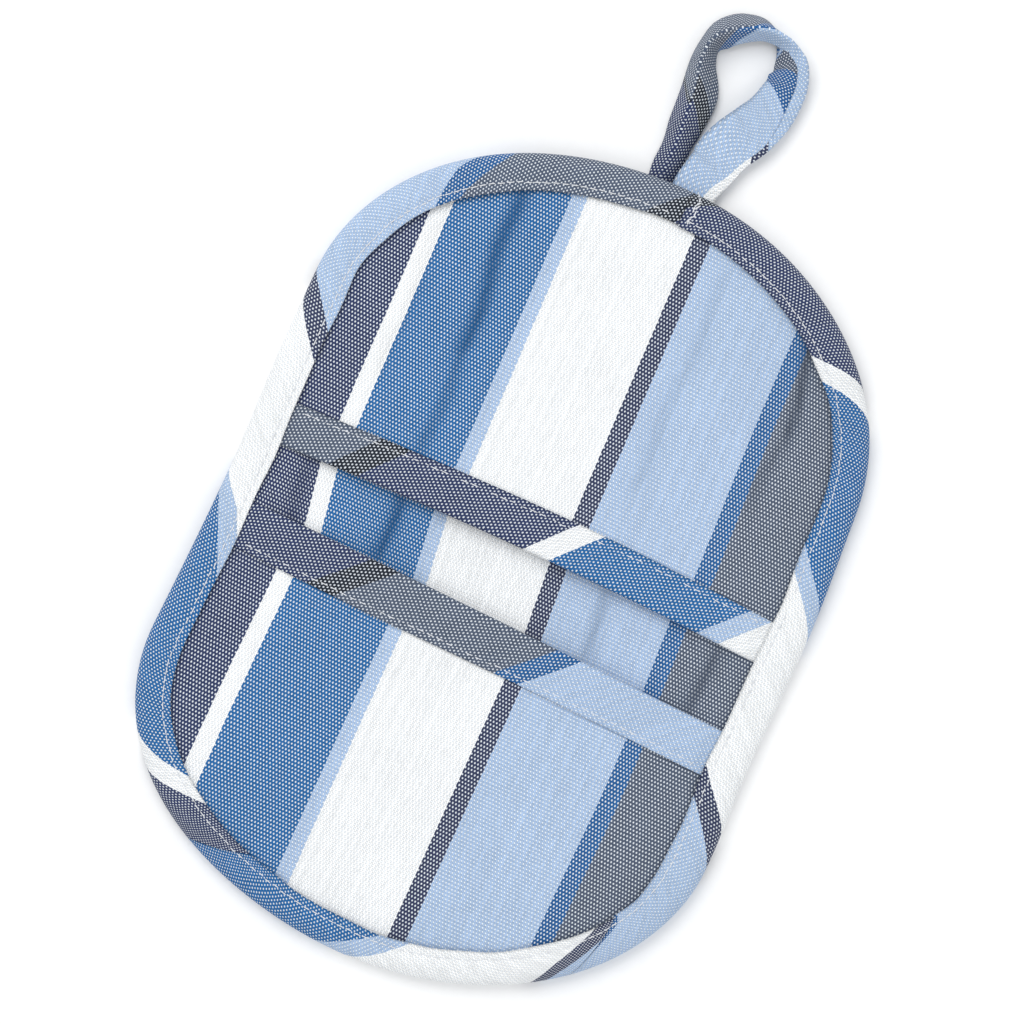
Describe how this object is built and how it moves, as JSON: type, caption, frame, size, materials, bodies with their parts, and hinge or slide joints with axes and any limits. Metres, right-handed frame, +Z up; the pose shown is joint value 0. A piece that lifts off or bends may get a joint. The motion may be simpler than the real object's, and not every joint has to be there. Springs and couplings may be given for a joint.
{
  "type": "oven mitt",
  "caption": "Oval pinch-grip oven mitt: a padded pad with a hand pocket at each end, bound edges, a fold across the middle and a hanging loop.",
  "frame": {"origin": "on the back face, in the middle of the line that the mitt folds along", "axes": "+Y towards the hanging loop, +X across the mitt, +Z up out of the pockets"},
  "size_m": [0.175, 0.2996, 0.0167],
  "materials": {
    "back_cloth": "matt striped plain-weave cotton",
    "wadding": "matt bonded cotton wadding",
    "front_cloth": "matt striped plain-weave cotton",
    "lining": "matt plain-weave cotton",
    "pocket_cloth": "matt striped plain-weave cotton",
    "band": "matt striped cotton cut on the bias",
    "binding": "matt striped cotton cut on the bias",
    "loop": "matt striped cotton cut on the bias, folded",
    "thread": "white cotton sewing thread"
  },
  "bodies": {
    "upper_half": {"back_cloth_fold": "back_cloth", "back_cloth_upper": "back_cloth", "binding_left_fold": "binding", "binding_left_upper": "binding", "binding_right_fold": "binding", "binding_right_upper": "binding", "edge_stitching_left_fold": "thread", "edge_stitching_right_fold": "thread", "edge_stitching_upper": "thread", "front_cloth_fold": "front_cloth", "front_cloth_upper": "front_cloth", "loop_end_left": "loop", "loop_end_right": "loop", "loop_tack": "thread", "upper_pocket_band": "band", "upper_pocket_cloth": "pocket_cloth", "upper_pocket_lining": "lining", "upper_pocket_stitching": "thread", "wadding_fold": "wadding", "wadding_upper": "wadding"},
    "lower_half": {"back_cloth_lower": "back_cloth", "binding_bottom": "binding", "binding_left_lower": "binding", "binding_right_lower": "binding", "edge_stitching_lower": "thread", "front_cloth_lower": "front_cloth", "lower_pocket_band": "band", "lower_pocket_cloth": "pocket_cloth", "lower_pocket_lining": "lining", "lower_pocket_stitching": "thread", "wadding_lower": "wadding"},
    "loop": {"hanging_loop": "loop"}
  },
  "joints": [
    {"name": "fold", "type": "hinge", "parent": "upper_half", "child": "lower_half", "pos_m": [0, 0, 0], "axis": [1, 0, 0], "range_deg": [-65, 170], "deforming": ["back_cloth_fold", "binding_left_fold", "binding_right_fold", "edge_stitching_left_fold", "edge_stitching_right_fold", "front_cloth_fold", "wadding_fold"]},
    {"name": "loop_swing", "type": "hinge", "parent": "upper_half", "child": "loop", "pos_m": [0, 0.1283, 0.0016], "axis": [1, 0, 0], "range_deg": [-90, 90], "deforming": ["loop_end_left", "loop_end_right"]}
  ]
}
